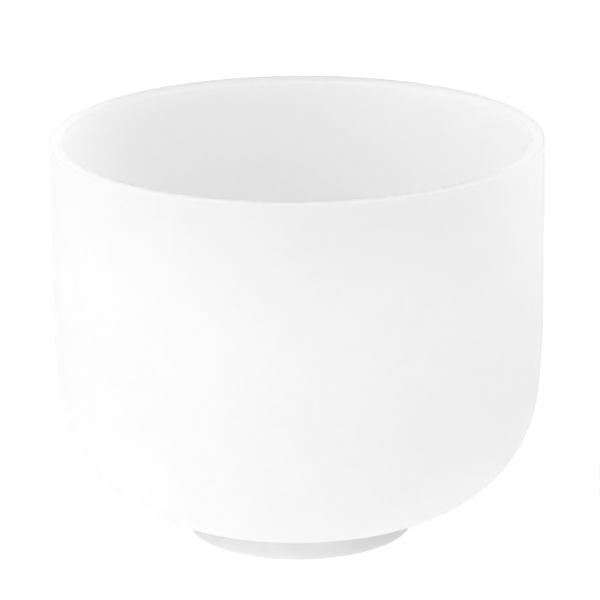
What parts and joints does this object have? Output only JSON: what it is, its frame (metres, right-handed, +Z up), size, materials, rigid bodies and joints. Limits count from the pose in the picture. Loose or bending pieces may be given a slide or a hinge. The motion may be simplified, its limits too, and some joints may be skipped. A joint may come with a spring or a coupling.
{
  "type": "singing bowl",
  "caption": "Deep frosted quartz singing bowl with a round bottom, resting loose on a flat silicone support ring; sounded by striking it or rubbing its rim.",
  "frame": {"origin": "centre of the support ring's underside, on the bowl's axis", "axes": "+Z up along the bowl's axis of revolution, from the ring towards the rim"},
  "size_m": [0.203, 0.203, 0.168],
  "materials": {
    "frosted_quartz": "matte",
    "silicone": "matte"
  },
  "bodies": {
    "ring": {"support_ring": "silicone"},
    "bowl": {"quartz_bowl": "frosted_quartz"}
  },
  "joints": [
    {"name": "bowl_lift", "type": "slide", "parent": "ring", "child": "bowl", "axis": [0, 0, 1], "range_m": [0, 0.06]}
  ]
}
